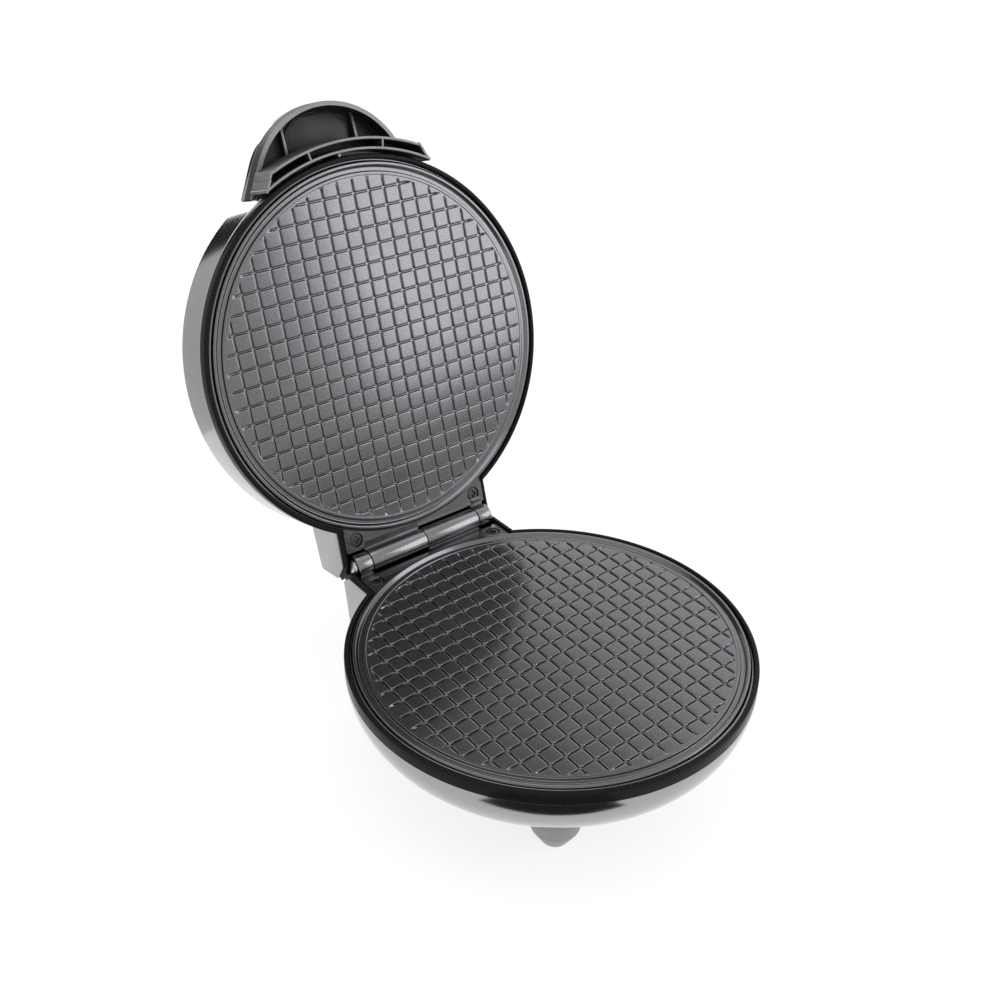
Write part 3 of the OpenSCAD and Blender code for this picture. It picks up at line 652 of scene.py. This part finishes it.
def grip_handle():
    grip = loft("grip_handle", [handle_ring(0.5, HANDLE_LOW), handle_ring(0, HANDLE_LOW + 0.5),
                                handle_ring(0, SIDE_TOP - 0.2), handle_ring(0.35, SIDE_TOP),
                                handle_ring(0, SIDE_TOP + 0.2), *handle_top(0)])
    cut(grip, cylinder("lid_space", BODY_R + 0.2, 0, 60, steps=STEPS))
    hollow = loft("hollow", [handle_ring(HANDLE_WALL, 0), handle_ring(HANDLE_WALL, 28.6),
                             handle_ring(HANDLE_WALL + 2, 30.6)])
    cut(hollow, cylinder("lid_wall", BODY_R + 2.6, -10, 60, steps=STEPS))
    cut(grip, hollow)
    rib_front = HANDLE_Y - math.sqrt(HANDLE_R ** 2 - (RIB_X + 1) ** 2) + 1
    rib_outline = [(rib_front, 28.5), (rib_front + 3.2, 26.2), (-104, 25.2), (-104, 31), (rib_front, 31)]
    extras = []
    for x in (-RIB_X, RIB_X):
        rib = bevel(side_prism("rib", rib_outline, x - 0.8, x + 0.8), 0.3, 2)
        extras.append(rib)
    panel = fillet([(-19, -108, 3), (19, -108, 3), (19, -119, 6), (11, -126.5, 8), (-11, -126.5, 8),
                    (-19, -119, 6)])
    rings = [(1.0, 31), (1.0, 28.9), (0.9, 28.4), (0.86, 28.2)]
    extras.append(loft("panel", [[(x * s, -116 + (y + 116) * s, z) for x, y in panel] for s, z in rings]))
    gather(grip, *extras)

    def surface(c, n):
        turn = math.radians(FLARE)
        flank = abs(c.x) * math.cos(turn) - (c.y - HANDLE_Y) * math.sin(turn)
        flared = math.atan2(HANDLE_Y - c.y, abs(c.x)) < turn
        reach = flank if flared else math.hypot(c.x, c.y - HANDLE_Y)
        if (reach > HANDLE_R - 1.2 and c.z > SIDE_TOP) or c.z > HANDLE_TOP - 1.5:
            return 0
        # Lighter grey on the lower rim and the downward rib edges is partly overspray, partly painted
        # highlight; black on the faces inside is bare plastic with painted shade.
        rib_edge_highlight = c.z < 28 and n.z < -0.6
        return 1 if c.z < HANDLE_LOW + 1.2 or rib_edge_highlight else 2

    settle(grip, "lid", ["handle"],
           [MATERIALS["housing_paint"], MATERIALS["edge_paint_and_painted_highlight"], MATERIALS["black_plastic_and_painted_shade"]], surface)


def curved_wall(name, inner, outer, half_deg, low, high):
    profile = fillet([(inner, low, 0.35), (outer, low, 0.35), (outer, high), (inner, high)], 3)
    return lathe(name, profile, -90 - half_deg, -90 + half_deg, 96)


def radial_web(name, start, end, thick, low, high):
    """Thin upright wall between two plan points."""
    a, b = Vector(start), Vector(end)
    side = (b - a).normalized().orthogonal() * thick / 2
    obj = plan_prism(name, [tuple(a - side), tuple(b - side), tuple(b + side), tuple(a + side)], low, high)
    return bevel(obj, 0.2, 2)


def grip_bracket():
    low, high = GAP - 2, HANDLE_LOW - 0.1
    bracket = curved_wall("grip_bracket", BRACKET_OUT, BRACKET_OUT + BRACKET_WALL, 23.6, low, high)
    parts = [curved_wall("wall", BRACKET_IN, BRACKET_IN + BRACKET_WALL, 28.2, low, high),
             curved_wall("floor", 104.8, 110.4, 24.0, high - 2, high)]
    for turn in (-11.8, 11.8):
        t = math.radians(-90 + turn)
        inner, outer = ((r * math.cos(t), r * math.sin(t)) for r in (105, 110.4))
        parts.append(radial_web("web", inner, outer, 1.1, low + 0.15, high))
    for side in (-1, 1):
        parts.append(radial_web("end", (side * 44.4, -101.9), (side * 46.6, -97.7), 1.3, low + 0.05, high))
        parts.append(radial_web("end", (side * 46.2, -98.0), (side * 49.5, -91.9), 1.3, low + 0.05, high))
    peg = lathe("peg", fillet([(0.01, low), (0.9, low, 0.3), (1.1, high), (0.01, high)]), steps=24)
    peg.data.transform(Matrix.Translation((PEG_X, PEG_Y, 0)))
    parts.append(peg)
    gather(bracket, *parts)
    # Lighter grey on the lower edges and the outer faces of the end webs is painted highlight; black on the
    # deep faces is painted shade of the same dark-grey plastic.
    settle(bracket, "lid", ["handle_bracket"],
           [MATERIALS["edge_paint_and_painted_highlight"], MATERIALS["black_plastic_and_painted_shade"]],
           lambda c, n: 0 if c.z < low + 0.5 or (abs(c.x) > 43.5 and n.x * c.x > 0) else 1)


# ---- Feet ----

def foot(name, node, x, y):
    """Tapered foot with a round lower end, cut to the curve of the housing."""
    low = FLOOR_Z + 0.6
    tip = fillet([(0.01, low), (6.2, low, 3.6), (12.2, low + 10, 5), (13.3, low + 17, 4), (13.4, -34),
                  (0.01, -34)])
    obj = lathe(name, tip, steps=96)
    obj.data.transform(Matrix.Translation((x, y, 0)))
    cut(obj, lathe("bowl", bowl_profile(-0.05)))
    if y > 0:
        cut(obj, side_prism("block", base_block(-0.05, 0), -BLOCK_HALF - 1, BLOCK_HALF + 1))
    settle(obj, "base", [node], [MATERIALS["grey_plastic"]])


def foot_pad(name, x, y):
    low = FLOOR_Z
    obj = lathe(name, fillet([(0.01, low + 0.3), (1.4, low + 0.3, 0.2), (1.8, low, 0.2), (3.9, low, 0.3),
                              (4.0, low + 1.2), (0.01, low + 1.2)]), steps=64)
    obj.data.transform(Matrix.Translation((x, y, 0)))
    settle(obj, "base", ["foot_pads"], [MATERIALS["rubber"]])


def feet():
    for node in ("front_foot_left", "front_foot_right", "rear_foot_left", "rear_foot_right"):
        low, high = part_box(node)
        x = (low.x + high.x) / 2 / MM
        y = (low.y + high.y) / 2 / MM - CENTRE_Y
        foot(node + "_visual", node, x, y)
        foot_pad(node + "_pad", x, y)


# ---- CAD nodes that keep their own shape ----

NODE_FINISH = {
    "bottom_cover": "grey_plastic", "bottom_cover_screws": "dull_steel", "handle_screws": "dull_steel",
    "hinge_pin": "bright_steel", "pin_clips": "bright_steel", "cord_gland": "black_plastic_and_painted_shade",
    "lower_element": "sheath", "upper_element": "sheath", "lower_element_clamps": "aluminium",
    "upper_element_clamps": "aluminium", "lower_heat_shield": "aluminium", "upper_heat_shield": "aluminium",
    "lower_shield_pillars": "bright_steel", "upper_shield_pillars": "bright_steel", "thermostat": "ceramic",
    "thermal_fuse": "ceramic", "upper_thermal_fuse": "ceramic", "terminal_block": "ceramic",
    "lamp_holder": "ceramic", "base_wiring": "sleeve", "lid_wiring": "sleeve", "power_lens": "red_lens",
    "ready_lens": "green_lens"}


def finish_nodes():
    for name, finish in NODE_FINISH.items():
        obj = frame["nodes"][name]
        obj.data.materials.clear()
        obj.data.materials.append(MATERIALS[finish])


# ---- Floor, lights and camera ----

def card(name, centre, toward, width, height, strength, shade=1.0):
    """Flat studio card that only shows in reflections, or an area light when strength is above 0."""
    if strength > 0:
        data = bpy.data.lights.new(name, "AREA")
        data.shape = "RECTANGLE"
        data.size, data.size_y = width, height
        data.energy = strength * math.pi * width * height
        obj = bpy.data.objects.new(name, data)
    else:
        mesh = bpy.data.meshes.new(name)
        w, h = width / 2, height / 2
        mesh.from_pydata([(-w, -h, 0), (w, -h, 0), (w, h, 0), (-w, h, 0)], [], [(0, 1, 2, 3)])
        obj = bpy.data.objects.new(name, mesh)
        material, shader = new_material(name, (shade, shade, shade), 0.9)
        shader.inputs["Specular IOR Level"].default_value = 0.0
        mesh.materials.append(material)
        obj.visible_diffuse = False
        obj.visible_shadow = False
    obj.location = centre
    obj.rotation_mode = "QUATERNION"
    obj.rotation_quaternion = (Vector(toward) - Vector(centre)).to_track_quat("-Z", "Y")
    obj.visible_camera = False
    bpy.context.scene.collection.objects.link(obj)
    return obj


def glow(world, start, azimuth, elevation, inner, outer, value):
    """Blends the sky's brightness to a value around a direction; all angles in degrees."""
    nodes, links = world.node_tree.nodes, world.node_tree.links
    place = nodes.new("ShaderNodeTexCoord")
    dot = nodes.new("ShaderNodeVectorMath")
    dot.operation = "DOT_PRODUCT"
    turn, rise = math.radians(azimuth), math.radians(elevation)
    dot.inputs[1].default_value = (math.sin(turn) * math.cos(rise), -math.cos(turn) * math.cos(rise),
                                   math.sin(rise))
    links.new(place.outputs["Generated"], dot.inputs[0])
    weight = nodes.new("ShaderNodeMapRange")
    weight.interpolation_type = "SMOOTHSTEP"
    weight.inputs["From Min"].default_value = math.cos(math.radians(outer))
    weight.inputs["From Max"].default_value = math.cos(math.radians(inner))
    links.new(dot.outputs["Value"], weight.inputs["Value"])
    blend = nodes.new("ShaderNodeMix")
    blend.inputs["B"].default_value = value
    links.new(weight.outputs["Result"], blend.inputs["Factor"])
    links.new(start, blend.inputs["A"])
    return blend.outputs["Result"]


def sky():
    """Soft white surround, brighter behind on the right and dimmer behind on the left."""
    world = bpy.data.worlds.new("studio")
    bpy.context.scene.world = world
    world.use_nodes = True
    base = world.node_tree.nodes.new("ShaderNodeValue")
    base.outputs["Value"].default_value = 1.0
    level = glow(world, base.outputs["Value"], 125, 32, 26, 50, 1.5)
    level = glow(world, level, 155, 55, 12, 27, 0.35)
    background = world.node_tree.nodes["Background"]
    background.inputs["Color"].default_value = (1, 1, 1, 1)
    world.node_tree.links.new(level, background.inputs["Strength"])


def studio():
    middle = Vector((0, CENTRE_Y * MM, -FLOOR_Z * MM))
    sky()
    mesh = bpy.data.meshes.new("floor")
    s = 15.0
    mesh.from_pydata([(-s, -s, 0), (s, -s, 0), (s, s, 0), (-s, s, 0)], [], [(0, 1, 2, 3)])
    floor = bpy.data.objects.new("floor", mesh)
    bpy.context.scene.collection.objects.link(floor)
    material, shader = new_material("floor", (0.25, 0.25, 0.25), 0.9)
    shader.inputs["Specular IOR Level"].default_value = 0.0
    shader.inputs["Emission Color"].default_value = (1, 1, 1, 1)
    shader.inputs["Emission Strength"].default_value = 0.78
    mesh.materials.append(material)
    front_box = middle + Vector((1.13, -1.05, 0.67))
    card("front_softbox", front_box, middle + Vector((0, 0, 0.08)), 1.0, 1.1, 2.3)
    card("front_low", middle + Vector((0.75, -1.1, -0.01)),
         middle + Vector((0, 0, -0.01)), 1.3, 0.11, 0, 0.35)
    card("top_softbox", middle + Vector((-0.3, 0.3, 1.9)), middle, 1.4, 1.4, 1.2)
    back_y = 0.365
    card("grey_wall", middle + Vector((-0.60, back_y, 0.25)),
         middle + Vector((-0.60, 0, 0.25)), 1.01, 0.64, 0, 0.68)
    card("dark_gap", middle + Vector((-0.066, back_y, 0.28)),
         middle + Vector((-0.066, 0, 0.28)), 0.058, 0.5, 0, 0.02)
    card("rear_strip", middle + Vector((-0.012, back_y, 0.28)),
         middle + Vector((-0.012, 0, 0.28)), 0.05, 0.5, 1.9)
    # Dark sheet lying on the floor in front, seen only in reflections: a painted shadow of the waffle maker
    # on the floor.
    reach, turn = 0.154, math.radians(-39)
    spot = middle + Vector((math.sin(turn) * reach, -math.cos(turn) * reach, -0.066))
    shadow_sheet = card("floor_shadow_sheet", spot, spot + Vector((0, 0, 1)), 0.118, 0.066, 0, 0.02)
    shadow_sheet.rotation_mode = "XYZ"
    shadow_sheet.rotation_euler = (0, 0, turn)


def camera():
    """Camera with its line of sight past the middle of the lower plate."""
    azimuth, elevation, roll = math.radians(-38.44), math.radians(28.39), math.radians(0.79)
    distance, side, rise = 0.60826, 0.02994, -0.10928
    back = Vector((math.sin(azimuth) * math.cos(elevation), -math.cos(azimuth) * math.cos(elevation),
                   math.sin(elevation)))
    right = Vector((0, 0, 1)).cross(back).normalized()
    up = back.cross(right)
    turned_right = right * math.cos(roll) + up * math.sin(roll)
    turned_up = up * math.cos(roll) - right * math.sin(roll)
    data = bpy.data.cameras.new("camera")
    data.sensor_width = 36
    data.lens = 43.99
    data.shift_x = 0.0095
    data.shift_y = -0.0767
    data.clip_start = 0.05
    data.clip_end = 60
    obj = bpy.data.objects.new("camera", data)
    obj.matrix_world = Matrix((turned_right, turned_up, back)).transposed().to_4x4()
    middle = Vector((0, CENTRE_Y * MM, -FLOOR_Z * MM))
    obj.location = middle + back * distance - turned_right * side - turned_up * rise
    bpy.context.scene.collection.objects.link(obj)
    bpy.context.scene.camera = obj


PATTERN = patterned_face()
camera()
studio()
base_housing()
lid_housing()
rims()
baking_plates()
plate_screws()
grip_handle()
grip_bracket()
feet()
finish_nodes()
bpy.context.scene.view_settings.view_transform = "Standard"
